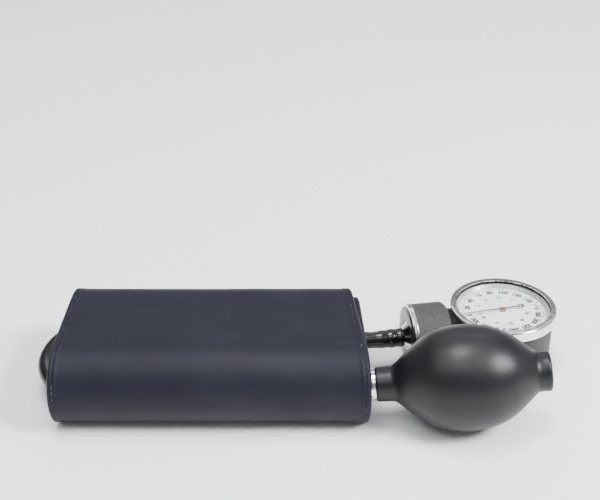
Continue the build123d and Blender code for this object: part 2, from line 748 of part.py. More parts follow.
with BuildPart() as needle:
    with BuildSketch(POINTER.offset(NEEDLE_Z)):
        with BuildLine():
            Polyline(
                (NEEDLE_TIP, -0.22),
                (NEEDLE_TIP, 0.22),
                (0.0, 0.42),
                (-NEEDLE_TAIL + 1.0, 0.34),
                (-NEEDLE_TAIL + 1.0, -0.34),
                (0.0, -0.42),
                close=True,
            )
        make_face()
        Circle(1.35)
        with Locations((-NEEDLE_TAIL, 0)):
            Circle(1.5)
            Circle(0.85, mode=Mode.SUBTRACT)
        Circle(HUB_TUBE_R + 0.02, mode=Mode.SUBTRACT)
    extrude(amount=NEEDLE_T)
save(needle, "needle")

with BuildPart() as needle_hub:
    add(ring(GAUGE, NEEDLE_Z - 0.5, NEEDLE_Z, 1.0))
    add(ring(GAUGE, NEEDLE_Z, NEEDLE_Z + NEEDLE_T, HUB_TUBE_R))
    add(ring(GAUGE, NEEDLE_Z + NEEDLE_T, NEEDLE_Z + NEEDLE_T + 0.35, 0.9))
    add(ring(GAUGE, NEEDLE_Z - 1.0, NEEDLE_Z + NEEDLE_T, ARBOR_R), mode=Mode.SUBTRACT)
save(needle_hub, "needle_hub")

with BuildPart() as dial_bush:
    add(ring(GAUGE, DIAL_TOP_Z - DIAL_T - 0.2, DIAL_TOP_Z + 0.3, 1.65, ARBOR_R + 0.1))
save(dial_bush, "dial_bush")

# ---------------------------------------------------------------- hand bulb
AXIAL = Plane(origin=BULB_CENTRE, z_dir=BULB_AXIS)
BULB_SIDE = BULB_AXIS.cross(Vector(0, 0, 1)).normalized()
BULB_SECTION = Plane(origin=BULB_CENTRE, x_dir=BULB_AXIS, z_dir=BULB_SIDE)
OUTER_PROFILE = [
    (-31.5, 8.6),
    (-26.0, 13.8),
    (-16.3, 21.0),
    (0.0, BULB_R),
    (14.3, 22.2),
    (21.5, 18.8),
    (27.5, 14.2),
    (33.0, 9.4),
]
INNER_PROFILE = [
    (-29.5, NECK_BORE),
    (-24.6, 11.3),
    (-15.6, 18.4),
    (0.0, BULB_R - 2.6),
    (13.6, 19.7),
    (20.4, 16.4),
    (26.0, 12.0),
    (30.5, NECK_BORE),
]

with BuildPart() as bulb:
    with BuildSketch(BULB_SECTION):
        with BuildLine():
            Line((BULB_LEFT_END, NECK_BORE), (BULB_LEFT_END, 7.9))
            Line((BULB_LEFT_END, 7.9), OUTER_PROFILE[0])
            Spline(*OUTER_PROFILE)
            Line(OUTER_PROFILE[-1], (BULB_RIGHT_END, 9.2))
            Line((BULB_RIGHT_END, 9.2), (BULB_RIGHT_END, NECK_BORE))
            Line((BULB_RIGHT_END, NECK_BORE), INNER_PROFILE[-1])
            Spline(*INNER_PROFILE)
            Line(INNER_PROFILE[0], (BULB_LEFT_END, NECK_BORE))
        make_face()
    revolve(axis=Axis(BULB_CENTRE, BULB_AXIS))
    right_rim = bulb.edges().filter_by(GeomType.CIRCLE).sort_by_distance(on_bulb(BULB_RIGHT_END))
    fillet([edge for edge in right_rim[:2] if edge.radius > NECK_BORE + 1], radius=1.2)
save(bulb, "bulb")

# ---------------------------------------------------------------- inlet valve, in the bulb's free end
CHAMBER_R = 3.0
BALL_R = 2.2
SEAT_HOLE_R = 1.3
SEAT_DEPTH = (BALL_R**2 - SEAT_HOLE_R**2) ** 0.5 + 0.05
INLET_OUT = BULB_RIGHT_END - 0.6
INLET_IN = 28.4
INLET_SEAT = INLET_OUT - 2.4
RETAINER_T = 1.2


def off_axis(base, spot):
    """The same plane moved sideways in itself."""
    return base.shift_origin(base.from_local_coords((*spot, 0)))


def around(radius, count):
    """Evenly spaced spots on a circle."""
    return [(radius * cos(2 * pi * k / count), radius * sin(2 * pi * k / count)) for k in range(count)]


with BuildPart() as inlet_valve_body:
    add(ring(AXIAL, INLET_IN, INLET_OUT, NECK_BORE - VALVE_FIT, SEAT_HOLE_R))
    add(ring(AXIAL, INLET_IN - 1.0, INLET_SEAT, CHAMBER_R), mode=Mode.SUBTRACT)
save(inlet_valve_body, "inlet_valve_body")

with BuildPart() as inlet_retainer:
    add(ring(AXIAL, INLET_IN, INLET_IN + RETAINER_T, CHAMBER_R - 0.03))
    for spot in around(1.7, 3):
        add(ring(off_axis(AXIAL, spot), INLET_IN - 1, INLET_IN + 3, 0.7), mode=Mode.SUBTRACT)
save(inlet_retainer, "inlet_retainer")


def ball(distance, label):
    """Check ball on the bulb's axis."""
    with BuildPart() as sphere:
        with BuildSketch(Plane(origin=on_bulb(distance), x_dir=BULB_AXIS, z_dir=BULB_SIDE)):
            with BuildLine():
                dome = CenterArc((0, 0), BALL_R, 0, 180)
                Line(dome @ 0, dome @ 1)
            make_face()
        revolve(axis=Axis(on_bulb(distance), BULB_AXIS))
    save(sphere, label)


ball(INLET_SEAT - SEAT_DEPTH, "inlet_ball")

with BuildPart() as inlet_filter:
    add(ring(AXIAL, INLET_OUT, BULB_RIGHT_END - 0.1, NECK_BORE - VALVE_FIT))
    for circle_r, count in ((1.3, 6), (2.7, 12), (4.1, 18)):
        for spot in around(circle_r, count):
            add(ring(off_axis(AXIAL, spot), INLET_OUT - 1, BULB_RIGHT_END, 0.35), mode=Mode.SUBTRACT)
save(inlet_filter, "inlet_filter")

# ---------------------------------------------------------------- release valve, between bulb and hose
OUTLET_IN = BULB_LEFT_END + 9.0
OUTLET_SEAT = OUTLET_IN - 1.5
CHAMBER_END = OUTLET_IN - 7.0
VALVE_BODY_R = 5.8
VALVE_BODY_END = -60.5
SPINDLE_AT = -52.0
BOSS_R = 4.4
BOSS_LENGTH = 9.0
SPINDLE_R = 1.5
SPINDLE_BORE_R = 1.56
KNOB_R = 5.6
KNOB_LOW = 10.0
KNOB_HIGH = 19.5
SPINDLE = Plane(origin=on_bulb(SPINDLE_AT), x_dir=BULB_AXIS, z_dir=BULB_SIDE * -1)
VALVE_AXIAL = Plane(origin=BULB_CENTRE, z_dir=BULB_AXIS * -1)

with BuildPart() as release_valve_body:
    add(ring(AXIAL, BULB_LEFT_END, OUTLET_IN, NECK_BORE - VALVE_FIT))
    add(ring(AXIAL, BULB_LEFT_END - 1.8, BULB_LEFT_END, 7.5))
    add(ring(AXIAL, VALVE_BODY_END, BULB_LEFT_END - 1.8, VALVE_BODY_R))
    with BuildSketch(AXIAL.offset(VALVE_BODY_END)):
        Circle(VALVE_BODY_R - 0.6)
    with BuildSketch(AXIAL.offset(VALVE_HOSE_END + 0.1)):
        Circle(3.4)
    loft()
    add(barbed_stem(VALVE_AXIAL, -VALVE_HOSE_END - 0.2, 12.0, (2.5, 5.5, 8.5)))
    add(ring(SPINDLE, 0.0, BOSS_LENGTH, BOSS_R))
    add(ring(AXIAL, VALVE_HOSE_END - 20, OUTLET_IN + 1, 1.1), mode=Mode.SUBTRACT)
    add(ring(AXIAL, CHAMBER_END, OUTLET_IN + 1, CHAMBER_R), mode=Mode.SUBTRACT)
    add(ring(SPINDLE, 0.0, BOSS_LENGTH + 1, SPINDLE_BORE_R), mode=Mode.SUBTRACT)
    add(ring(SPINDLE, BOSS_LENGTH - 1.6, BOSS_LENGTH + 1, 2.75), mode=Mode.SUBTRACT)
    vent = Plane(origin=SPINDLE.from_local_coords((0, 0, 4.0)), z_dir=SPINDLE.y_dir)
    add(ring(vent, 0.0, BOSS_R + 1, 0.7), mode=Mode.SUBTRACT)
save(release_valve_body, "release_valve_body")

with BuildPart() as outlet_seat:
    add(ring(AXIAL, OUTLET_SEAT, OUTLET_IN, CHAMBER_R - 0.03, SEAT_HOLE_R))
save(outlet_seat, "outlet_seat")

ball(OUTLET_SEAT - SEAT_DEPTH, "outlet_ball")

with BuildPart() as spindle_seal:
    add(ring(SPINDLE, BOSS_LENGTH - 1.5, BOSS_LENGTH - 0.1, 2.7, SPINDLE_BORE_R))
save(spindle_seal, "spindle_seal")

with BuildPart() as valve_spindle:
    add(ring(SPINDLE, 2.4, KNOB_HIGH - 2.2, SPINDLE_R))
    with BuildSketch(SPINDLE.offset(1.3)):
        Circle(0.3)
    with BuildSketch(SPINDLE.offset(2.4)):
        Circle(SPINDLE_R)
    loft()
save(valve_spindle, "valve_spindle")

KNURLS = 24

with BuildPart() as release_knob:
    add(ring(SPINDLE, KNOB_LOW, KNOB_HIGH, KNOB_R))
    fillet(release_knob.edges().filter_by(GeomType.CIRCLE), radius=0.5)
    for spot in around(KNOB_R + 0.15, KNURLS):
        add(ring(off_axis(SPINDLE, spot), KNOB_LOW + 1.2, KNOB_HIGH - 1.2, 0.42), mode=Mode.SUBTRACT)
    add(ring(SPINDLE, KNOB_LOW - 1, KNOB_HIGH - 2.0, SPINDLE_BORE_R), mode=Mode.SUBTRACT)
save(release_knob, "release_knob")
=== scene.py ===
import json
from math import cos, pi, radians, sin

import bmesh
import bpy
from mathutils import Matrix, Vector, noise


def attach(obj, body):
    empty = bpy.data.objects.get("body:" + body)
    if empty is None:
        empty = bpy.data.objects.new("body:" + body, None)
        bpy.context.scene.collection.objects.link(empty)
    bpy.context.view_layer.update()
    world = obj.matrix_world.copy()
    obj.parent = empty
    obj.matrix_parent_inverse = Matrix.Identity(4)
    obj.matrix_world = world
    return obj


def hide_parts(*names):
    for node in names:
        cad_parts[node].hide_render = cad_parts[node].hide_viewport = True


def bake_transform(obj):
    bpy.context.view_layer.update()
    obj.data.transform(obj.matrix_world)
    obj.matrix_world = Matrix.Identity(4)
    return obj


MM = 0.001
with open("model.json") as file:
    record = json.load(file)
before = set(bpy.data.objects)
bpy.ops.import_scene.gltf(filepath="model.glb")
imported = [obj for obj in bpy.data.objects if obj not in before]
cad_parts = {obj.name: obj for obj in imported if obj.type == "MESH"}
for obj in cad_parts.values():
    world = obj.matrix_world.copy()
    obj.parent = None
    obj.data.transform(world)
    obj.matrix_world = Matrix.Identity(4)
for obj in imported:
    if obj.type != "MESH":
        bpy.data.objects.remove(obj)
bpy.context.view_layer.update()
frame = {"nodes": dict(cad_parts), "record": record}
scene = bpy.context.scene
ROOT = "cuff_gauge_and_bulb"

# ---------------------------------------------------------------- camera
camera_data = bpy.data.cameras.new("camera")
camera_data.lens = 66.0
camera_data.sensor_width = 36.0
camera_data.clip_start = 0.01
camera = bpy.data.objects.new("camera", camera_data)
scene.collection.objects.link(camera)
camera.location = (-0.0069, -0.4387, 0.3200)
CAMERA_DIP = 29.1
camera.rotation_euler = (radians(90.0 - CAMERA_DIP), 0.0, 0.0)
scene.camera = camera


# ---------------------------------------------------------------- small helpers
def link(name, data):
    """Put new data in the scene as an object."""
    piece = bpy.data.objects.new(name, data)
    scene.collection.objects.link(piece)
    return piece


def mesh_piece(name, points, faces, smooth=True):
    """Mesh object from points in millimetres."""
    mesh = bpy.data.meshes.new(name)
    mesh.from_pydata([[c * MM for c in p] for p in points], [], faces)
    mesh.polygons.foreach_set("use_smooth", [smooth] * len(mesh.polygons))
    mesh.update()
    return link(name, mesh)


def close_normals(piece):
    """Make every face of a closed piece look outwards."""
    work = bmesh.new()
    work.from_mesh(piece.data)
    bmesh.ops.recalc_face_normals(work, faces=work.faces)
    work.to_mesh(piece.data)
    work.free()


# ---------------------------------------------------------------- materials
# ridges that a wave texture makes in a metre at a scale of 1
WAVES_PER_METRE = 3.1831


class Look:
    """Procedural material: one Principled shader with noise for its colour, roughness and relief."""

    def __init__(self, name, roughness=0.5, metallic=0.0, **sockets):
        self.material = bpy.data.materials.new(name)
        self.material.use_nodes = True
        self.nodes = self.material.node_tree.nodes
        self.links = self.material.node_tree.links
        self.shader = self.nodes["Principled BSDF"]
        self.shader.inputs["Roughness"].default_value = roughness
        self.shader.inputs["Metallic"].default_value = metallic
        for socket, value in sockets.items():
            self.shader.inputs[socket.replace("_", " ")].default_value = value
        self.where = self.nodes.new("ShaderNodeTexCoord").outputs["Object"]
        self.normal = None

    def noise(self, scale, detail=4.0, stretch=(1.0, 1.0, 1.0)):
        """Noise with its scale in cells per metre."""
        mapping = self.nodes.new("ShaderNodeMapping")
        mapping.inputs["Scale"].default_value = stretch
        self.links.new(self.where, mapping.inputs["Vector"])
        texture = self.nodes.new("ShaderNodeTexNoise")
        texture.inputs["Scale"].default_value = scale
        texture.inputs["Detail"].default_value = detail
        self.links.new(mapping.outputs["Vector"], texture.inputs["Vector"])
        return texture.outputs["Fac"]

    def wave(self, scale, direction):
        """Even ridges across one direction, with their scale in ridges per metre."""
        texture = self.nodes.new("ShaderNodeTexWave")
        texture.bands_direction = direction
        texture.inputs["Scale"].default_value = scale / WAVES_PER_METRE
        texture.inputs["Distortion"].default_value = 0.4
        self.links.new(self.where, texture.inputs["Vector"])
        return texture.outputs["Fac"]

    def ramp(self, source, stops):
        """Map a value to colours."""
        ramp = self.nodes.new("ShaderNodeValToRGB")
        ramp.color_ramp.elements[0].position = stops[0][0]
        ramp.color_ramp.elements[0].color = (*stops[0][1], 1.0)
        ramp.color_ramp.elements[1].position = stops[-1][0]
        ramp.color_ramp.elements[1].color = (*stops[-1][1], 1.0)
        for position, colour in stops[1:-1]:
            ramp.color_ramp.elements.new(position).color = (*colour, 1.0)
        self.links.new(source, ramp.inputs["Fac"])
        return ramp.outputs["Color"]

    def colour(self, source, *stops):
        """Colour the surface by a value; each stop is a value and its colour."""
        self.links.new(self.ramp(source, stops), self.shader.inputs["Base Color"])
        return self

    def rough(self, source, low, high):
        """Let the roughness follow a noise, between two limits."""
        mapped = self.nodes.new("ShaderNodeMapRange")
        mapped.inputs["From Min"].default_value = 0.3
        mapped.inputs["From Max"].default_value = 0.7
        mapped.inputs["To Min"].default_value = low
        mapped.inputs["To Max"].default_value = high
        self.links.new(source, mapped.inputs["Value"])
        self.links.new(mapped.outputs["Result"], self.shader.inputs["Roughness"])
        return self

    def relief(self, source, depth, strength=1.0):
        """Bump with its depth in millimetres; further calls add to it."""
        bump = self.nodes.new("ShaderNodeBump")
        bump.inputs["Strength"].default_value = strength
        bump.inputs["Distance"].default_value = depth * MM
        self.links.new(source, bump.inputs["Height"])
        if self.normal:
            self.links.new(self.normal, bump.inputs["Normal"])
        self.normal = bump.outputs["Normal"]
        self.links.new(self.normal, self.shader.inputs["Normal"])
        return self


def grey(value, warm=0.0):
    """Near-neutral colour, warmer or cooler by a share."""
    return (value * (1 + warm), value, value * (1 - warm))


nylon = Look("nylon_weave", Sheen_Weight=0.02, Sheen_Roughness=0.4, Specular_IOR_Level=0.2)
patches = nylon.noise(38.0, 6.0, (1.0, 1.0, 1.6))
nylon.colour(patches, (0.30, (0.0050, 0.0050, 0.0110)), (0.70, (0.0080, 0.0080, 0.0165)))
nylon.rough(nylon.noise(90.0, 5.0, (0.25, 1.0, 1.0)), 0.50, 0.60)
nylon.relief(nylon.wave(2200.0, "X"), 0.035, 0.6)
nylon.relief(nylon.wave(2200.0, "DIAGONAL"), 0.03, 0.5)
nylon.relief(nylon.noise(60.0, 6.0, (1.0, 1.6, 1.6)), 0.25, 0.5)

thread = Look("sewing_thread", 0.6, Specular_IOR_Level=0.2)
thread.colour(thread.noise(260.0, 2.0), (0.50, (0.007, 0.0075, 0.013)), (0.68, (0.070, 0.074, 0.10)))
thread.relief(thread.noise(3000.0), 0.05)

hook_look = Look("hook_tape", 0.6, Sheen_Weight=0.05, Specular_IOR_Level=0.3)
hook_look.colour(hook_look.noise(1500.0, 2.0), (0.35, grey(0.005)), (0.65, grey(0.028, -0.05)))
hook_look.relief(hook_look.noise(1400.0, 1.0), 0.5)

loop_look = Look("loop_tape", 0.9, Sheen_Weight=0.12, Sheen_Roughness=0.6, Specular_IOR_Level=0.2)
loop_look.colour(loop_look.noise(500.0, 8.0), (0.3, (0.008, 0.009, 0.014)), (0.7, (0.026, 0.028, 0.038)))
loop_look.relief(loop_look.noise(900.0, 8.0), 0.4)

hose_look = Look("hose_rubber", 0.2, Coat_Weight=0.1, Coat_Roughness=0.1, Specular_IOR_Level=0.4)
hose_look.colour(hose_look.noise(120.0, 5.0), (0.3, grey(0.004)), (0.7, grey(0.008)))
hose_look.rough(hose_look.noise(200.0, 5.0), 0.13, 0.19)
hose_look.relief(hose_look.noise(160.0, 3.0), 0.02, 0.4)

bulb_look = Look("bulb_rubber", 0.4, Specular_IOR_Level=0.34)
bulb_look.colour(bulb_look.noise(45.0, 6.0), (0.3, (0.0035, 0.0036, 0.0050)), (0.7, (0.0055, 0.0057, 0.0075)))
bulb_look.rough(bulb_look.noise(70.0, 6.0), 0.37, 0.43)
bulb_look.relief(bulb_look.noise(2500.0, 2.0), 0.02, 0.35)

bladder_look = Look("moulded_rubber", 0.5)
bladder_look.colour(bladder_look.noise(150.0), (0.3, grey(0.02)), (0.7, grey(0.032)))
bladder_look.relief(bladder_look.noise(900.0), 0.04)

seal_look = Look("seal_rubber", 0.6)
seal_look.colour(seal_look.noise(300.0), (0.3, grey(0.015)), (0.7, grey(0.025)))
seal_look.relief(seal_look.noise(1800.0), 0.03)

grey_look = Look("textured_grey_paint", 0.55, Specular_IOR_Level=0.25)
grey_look.colour(grey_look.noise(1500.0, 3.0), (0.3, (0.024, 0.024, 0.023)), (0.7, (0.060, 0.060, 0.057)))
grey_look.rough(grey_look.noise(700.0), 0.5, 0.65)
grey_look.relief(grey_look.noise(1300.0, 3.0), 0.16)

black_look = Look("satin_black_paint", 0.35, Specular_IOR_Level=0.12)
black_look.colour(black_look.noise(200.0), (0.3, grey(0.004)), (0.7, grey(0.008)))
black_look.relief(black_look.noise(900.0), 0.02)

chrome_look = Look("chrome_plate", 0.08, 1.0)
chrome_look.colour(chrome_look.noise(90.0), (0.3, (0.74, 0.75, 0.77)), (0.7, (0.86, 0.865, 0.88)))
chrome_look.rough(chrome_look.noise(260.0, 6.0), 0.05, 0.13)

dull_chrome = Look("chrome_face", 0.35, 1.0)
dull_chrome.colour(dull_chrome.noise(150.0), (0.3, grey(0.10)), (0.7, grey(0.16)))
dull_chrome.rough(dull_chrome.noise(400.0, 6.0), 0.28, 0.42)

glass_look = Look(
    "crystal_glass", 0.02, Alpha=0.08, IOR=1.45, Transmission_Weight=1.0, Specular_IOR_Level=0.3
)
glass_look.colour(glass_look.noise(40.0), (0.3, (0.90, 0.93, 0.94)), (0.7, (0.96, 0.98, 1.0)))
glass_look.rough(glass_look.noise(60.0), 0.01, 0.03)

dial_look = Look("dial_enamel", 0.4)
dial_look.colour(dial_look.noise(80.0), (0.3, (0.80, 0.81, 0.83)), (0.7, (0.88, 0.885, 0.90)))
dial_look.rough(dial_look.noise(300.0), 0.35, 0.5)

ring_look = Look("satin_aluminium", 0.3, 0.9)
ring_look.colour(ring_look.noise(200.0), (0.3, grey(0.72)), (0.7, grey(0.84)))
ring_look.rough(ring_look.noise(500.0), 0.25, 0.4)

ink_look = Look("printed_ink", 0.5)
ink_look.colour(ink_look.noise(700.0), (0.3, grey(0.003)), (0.7, grey(0.008)))

needle_look = Look("needle_black", 0.35)
needle_look.colour(needle_look.noise(500.0), (0.3, grey(0.008)), (0.7, grey(0.02)))

brass_look = Look("turned_brass", 0.28, 1.0)
brass_look.colour(brass_look.noise(300.0), (0.3, (0.62, 0.43, 0.17)), (0.7, (0.80, 0.60, 0.30)))
brass_look.rough(brass_look.noise(900.0, 4.0, (1.0, 1.0, 6.0)), 0.2, 0.36)

bronze_look = Look("rolled_bronze", 0.35, 1.0)
bronze_look.colour(bronze_look.noise(250.0), (0.3, (0.50, 0.28, 0.13)), (0.7, (0.66, 0.42, 0.22)))
bronze_look.rough(bronze_look.noise(700.0), 0.28, 0.42)

steel_look = Look("ground_steel", 0.3, 1.0)
steel_look.colour(steel_look.noise(300.0), (0.3, grey(0.45)), (0.7, grey(0.6)))
steel_look.rough(steel_look.noise(1200.0, 4.0, (1.0, 1.0, 8.0)), 0.22, 0.4)

plastic_look = Look("moulded_plastic", 0.45)
plastic_look.colour(plastic_look.noise(200.0), (0.3, grey(0.018)), (0.7, grey(0.03)))
plastic_look.relief(plastic_look.noise(1500.0), 0.03)

SLOT_LOOKS = {
    "nylon": nylon,
    "hook_tape": hook_look,
    "loop_tape": loop_look,
    "bladder_rubber": bladder_look,
    "hose_rubber": hose_look,
    "bulb_rubber": bulb_look,
    "seal_rubber": seal_look,
    "grey_paint": grey_look,
    "black_paint": black_look,
    "chrome": chrome_look,
    "glass": glass_look,
    "dial_white": dial_look,
    "dial_ring_silver": ring_look,
    "needle_black": needle_look,
    "brass": brass_look,
    "bronze": bronze_look,
    "steel": steel_look,
    "black_plastic": plastic_look,
}
for part in frame["record"]["subparts"]:
    node = frame["nodes"][part["node"]]
    look = SLOT_LOOKS[part["material_slot"]]
    node.data.materials.clear()
    node.data.materials.append(look.material)


def dress(piece, look, body=ROOT):
    """Give a new piece its material and, unless it bends across a joint, its body."""
    piece.data.materials.append(look.material)
    if body:
        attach(piece, body)


# ---------------------------------------------------------------- hoses
BULB_TILT = radians(7)
BULB_YAW = radians(2)
STEM_YAW = radians(10)
BULB_AXIS = Vector((cos(BULB_TILT) * cos(BULB_YAW), -cos(BULB_TILT) * sin(BULB_YAW), sin(BULB_TILT)))
BULB_CENTRE = Vector((68.2, -27.75, 24.6))
GAUGE_CENTRE = Vector((94.1, 25.95, 0.0))
STEM_AXIS = Vector((-cos(STEM_YAW), -sin(STEM_YAW), 0.0))
STEM_Z = 16.8
HOSE_R = 3.75
HOSE_END = 51.0


def on_bulb(distance):
    """Point on the bulb's axis, from its middle."""
    return BULB_CENTRE + BULB_AXIS * distance


def on_stem(distance):
    """Point on the gauge's stem, from the dial's middle towards the hose."""
    return GAUGE_CENTRE + STEM_AXIS * distance + Vector((0, 0, STEM_Z))


GAUGE_ROUTE = [
    (-26.8, -6.0, 11.56),
    (-44.8, -6.5, 11.5),
    (-64.8, -15.0, 11.2),
    (-84.8, -23.3, 11.2),
    (-104.8, -24.8, 11.2),
    (-123.8, -17.0, 12.0),
    (-131.3, 0.0, 14.0),
    (-125.8, 16.5, 17.0),
    (-109.8, 27.7, 19.5),
    (-84.8, 29.0, 20.0),
    (-53.8, 28.5, 19.5),
    (-23.8, 24.0, 18.0),
    (2.2, 17.0, 17.0),
    on_stem(HOSE_END + 18.0),
    on_stem(HOSE_END),
]
BULB_ROUTE = [
    (-15.8, 9.0, 11.56),
    (-35.8, 10.0, 11.4),
    (-57.8, 17.0, 11.0),
    (-79.8, 25.0, 11.0),
    (-97.8, 23.5, 11.8),
    (-109.3, 12.0, 13.5),
    (-112.3, -3.0, 16.0),
    (-104.3, -17.3, 18.3),
    (-87.3, -24.8, 19.2),
    (-61.8, -26.3, 19.2),
    (-39.8, -26.3, 17.2),
    on_bulb(-83.5),
    on_bulb(-62.5),
]


def hose(name, route, node):
    """Rubber tube on a smooth curve whose control points are the route."""
    curve = bpy.data.curves.new(name, "CURVE")
    curve.dimensions = "3D"
    curve.bevel_depth = HOSE_R * MM
    curve.bevel_resolution = 8
    curve.resolution_u = 12
    curve.use_fill_caps = True
    spline = curve.splines.new("NURBS")
    spline.points.add(len(route) - 1)
    for point, place in zip(spline.points, route):
        point.co = (*(c * MM for c in place), 1.0)
    spline.order_u = 3
    spline.use_endpoint_u = True
    piece = link(name, curve)
    dress(piece, hose_look)
    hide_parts(node)


hose("gauge_tube", GAUGE_ROUTE, "gauge_hose")
hose("bulb_tube", BULB_ROUTE, "bulb_hose")

# ---------------------------------------------------------------- cuff: one strip wound into the roll
OUTER_LEFT = (-119.2, 0.03)
OUTER_RIGHT = (21.3, -0.098)
INNER_LEFT = (-117.0, 0.03)
INNER_RIGHT = (23.7, -0.045)
FRONT_Y = -22.0
BACK_Y = 21.6
TAIL_T = 1.4
LAYER_T = 2.4
TOP = {1: 38.0, 2: 35.25, 3: 33.15}
BOTTOM = {1: 0.7, 2: 2.8, 3: 5.4}
SPLIT_Y = 19.6
FLAP_SWEEP = 128.0
STEP = 1.5
SLOW_SWAY = 0.55
QUICK_SWAY = 0.16
HEM_WIDTH = 4.4
HEM_RISE = 0.30
HEM_SLOPE = 0.8
SEAMS = (2.4,)
GROOVE_DEPTH = 0.28
GROOVE_HALF = 0.7
EDGE_ROUND = 1.1
NEAR_HEM = [0.5, 1.1, 1.7, 2.1, 2.4, 2.7, 3.1, 3.6, 4.0, 4.4, 5.0, 6.3, 7.8, 9.5]
MIDDLE_COLUMNS = 26
STITCH_PITCH = 3.1
STITCH_LENGTH = 2.0
STITCH_RISE = 0.08
STITCH_SIDES = 6
# place along the thread as a share of its length, and radius there
STITCH_SHAPE = [(-0.5, 0.08), (-0.36, 0.19), (0.0, 0.24), (0.36, 0.19), (0.5, 0.08)]
FLOOR_GAP = 0.4
LIP = 0.005


def bend(centre_y, height, radius, start, sweep):
    """Stations round a bend: point across the roll, outward normal."""
    count = max(4, round(abs(radians(sweep)) * radius / STEP))
    for k in range(count):
        angle = radians(start + sweep * k / count)
        yield centre_y + radius * cos(angle), height + radius * sin(angle), cos(angle), sin(angle)


def flat_run(first, last, height, up):
    """Stations along a flat stretch."""
    count = round(abs(last - first) / STEP)
    for k in range(count):
        yield first + (last - first) * k / count, height, 0.0, up


def front_bend(turn):
    """Stations of a turn's front bend, from its top down to its bottom."""
    height, radius = (TOP[turn] + BOTTOM[turn]) / 2, (TOP[turn] - BOTTOM[turn]) / 2
    return bend(FRONT_Y, height, radius, 90.0, 180.0)


def back_bend(turn):
    """Stations of the back bend that rises from the turn outside to this one."""
    height, radius = (TOP[turn] + BOTTOM[turn - 1]) / 2, (TOP[turn] - BOTTOM[turn - 1]) / 2
    return bend(BACK_Y, height, radius, -90.0, 180.0)


def sway(point):
    """Slow unevenness of the cloth, the same wherever two pieces meet."""
    slow = noise.noise(Vector(point) * 0.021)
    quick = noise.noise(Vector((point[0] * 0.09, point[1] * 0.05, point[2] * 0.05)) + Vector((7.0, 3.0, 1.0)))
    return SLOW_SWAY * slow + QUICK_SWAY * quick


def hem_height(inset):
    """How far the folded hem stands up, with a groove along each line of stitches."""
    rise = HEM_RISE * max(0.0, min(1.0, (HEM_WIDTH - inset) / HEM_SLOPE))
    for seam in SEAMS:
        rise -= GROOVE_DEPTH * max(0.0, 1.0 - abs(inset - seam) / GROOVE_HALF)
    return rise


def columns(width):
    """Distances across the strip, close together near the hems."""
    margin = NEAR_HEM[-1]
    middle = [margin + (width - 2 * margin) * k / MIDDLE_COLUMNS for k in range(1, MIDDLE_COLUMNS)]
    return NEAR_HEM + middle + [width - d for d in reversed(NEAR_HEM)]


def section(width, thickness, lively):
    """Loop round the strip: distance across, height off the centre line, share of the sway."""
    half = thickness / 2
    loop = [(0.0, 0.0, lively)]
    for inset in columns(width):
        edge = min(inset, width - inset)
        rounding = half * (1.0 - min(1.0, edge / EDGE_ROUND)) ** 2
        loop.append((inset, half - rounding + hem_height(edge), lively))
    loop.append((width, 0.0, lively))
    for inset in reversed(columns(width)):
        edge = min(inset, width - inset)
        rounding = half * (1.0 - min(1.0, edge / EDGE_ROUND)) ** 2
        loop.append((inset, -half + rounding, lively))
    return loop


def beyond(end, inner):
    """Station a hair past an end, which keeps the shading smooth right up to it."""
    run_y, run_z = end[0] - inner[0], end[1] - inner[1]
    share = LIP / (run_y**2 + run_z**2) ** 0.5
    return end[0] + run_y * share, end[1] + run_z * share, end[2], end[3]


def strip(name, stations, profile):
    """Closed strip of cloth swept along its stations; profile gives left edge and section for each."""
    last = len(stations) - 1
    stations = [beyond(stations[0], stations[1]), *stations, beyond(stations[-1], stations[-2])]
    points, size = [], 0
    for index, (y, z, ny, nz) in enumerate(stations):
        left, loop = profile(max(0, min(last, index - 1)))
        size = len(loop)
        for across, off, lively in loop:
            x = left + across
            lift = off + lively * sway((x, y, z))
            points.append((x, y + ny * lift, max(0.0, z + nz * lift)))
    faces = []
    for row in range(len(stations) - 1):
        for k in range(size):
            a, b = row * size + k, row * size + (k + 1) % size
            faces.append((a, b, b + size, a + size))
    sides = len(faces)
    faces.append(tuple(range(size)))
    faces.append(tuple(range(len(points) - size, len(points))))
    piece = mesh_piece(name, points, faces)
    for end in piece.data.polygons[sides:]:
        end.use_smooth = False
    close_normals(piece)
    return piece


def stitch_row(stations, edges, side):
    """Points and faces of the threads lying in the seams of one hem."""
    points, faces = [], []
    travelled, due = 0.0, STITCH_PITCH * 0.5
    for index in range(len(stations) - 1):
        y, z, ny, nz = stations[index]
        next_y, next_z = stations[index + 1][:2]
        run = ((next_y - y) ** 2 + (next_z - z) ** 2) ** 0.5
        travelled += run
        if travelled < due:
            continue
        due += STITCH_PITCH
        along = Vector((0.0, (next_y - y) / run, (next_z - z) / run))
        out = Vector((0.0, ny, nz))
        left, width, half, lively = edges(index)
        for seam in SEAMS:
            x = left + seam if side < 0 else left + width - seam
            lift = half + STITCH_RISE + lively * sway((x, y, z))
            centre = Vector((x, y, z)) + out * lift
            if centre.z < FLOOR_GAP:
                continue
            base = len(points)
            for share, girth in STITCH_SHAPE:
                for k in range(STITCH_SIDES):
                    angle = 2 * pi * k / STITCH_SIDES
                    offset = Vector((cos(angle) * girth, 0, 0)) + out * sin(angle) * girth
                    points.append(tuple(centre + along * share * STITCH_LENGTH + offset))
            tip = len(points) - STITCH_SIDES
            for ring in range(base, tip, STITCH_SIDES):
                for k in range(STITCH_SIDES):
                    a, b = ring + k, ring + (k + 1) % STITCH_SIDES
                    faces.append((a, b, b + STITCH_SIDES, a + STITCH_SIDES))
            faces.append(tuple(range(base + STITCH_SIDES - 1, base - 1, -1)))
            faces.append(tuple(range(tip, len(points))))
    return points, faces


